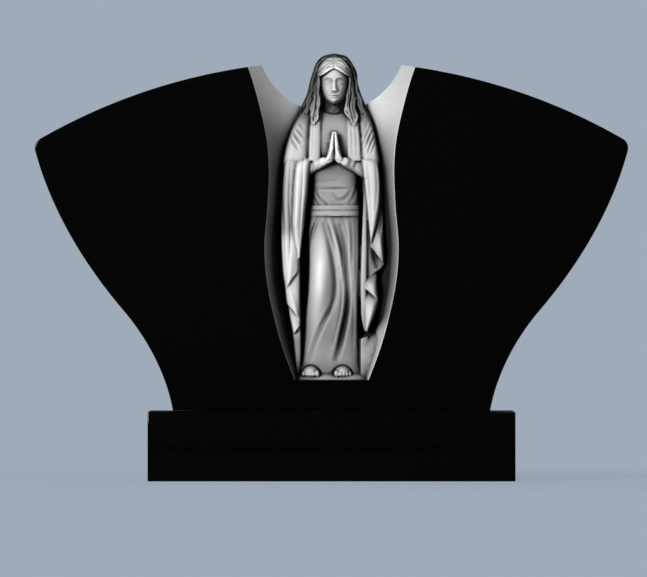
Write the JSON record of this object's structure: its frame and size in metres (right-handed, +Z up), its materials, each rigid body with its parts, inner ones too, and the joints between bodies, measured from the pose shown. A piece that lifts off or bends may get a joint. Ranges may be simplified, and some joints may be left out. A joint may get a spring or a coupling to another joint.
{
  "type": "headstone",
  "caption": "Fan-shaped polished black granite stele with a scooped niche and a praying figure carved in it in high relief, standing on a rectangular plinth.",
  "frame": {"origin": "middle of the plinth's underside", "axes": "+X to the right as the front is seen, +Y from the front to the back, +Z up; the figure faces -Y"},
  "size_m": [1.2, 0.25, 0.8662],
  "materials": {
    "stele_granite": "mirror-polished black granite on the slab; the niche and the figure are left matt and read pale grey",
    "plinth_granite": "mirror-polished black granite"
  },
  "bodies": {
    "root": {"stele": "stele_granite", "plinth": "plinth_granite"}
  },
  "joints": []
}
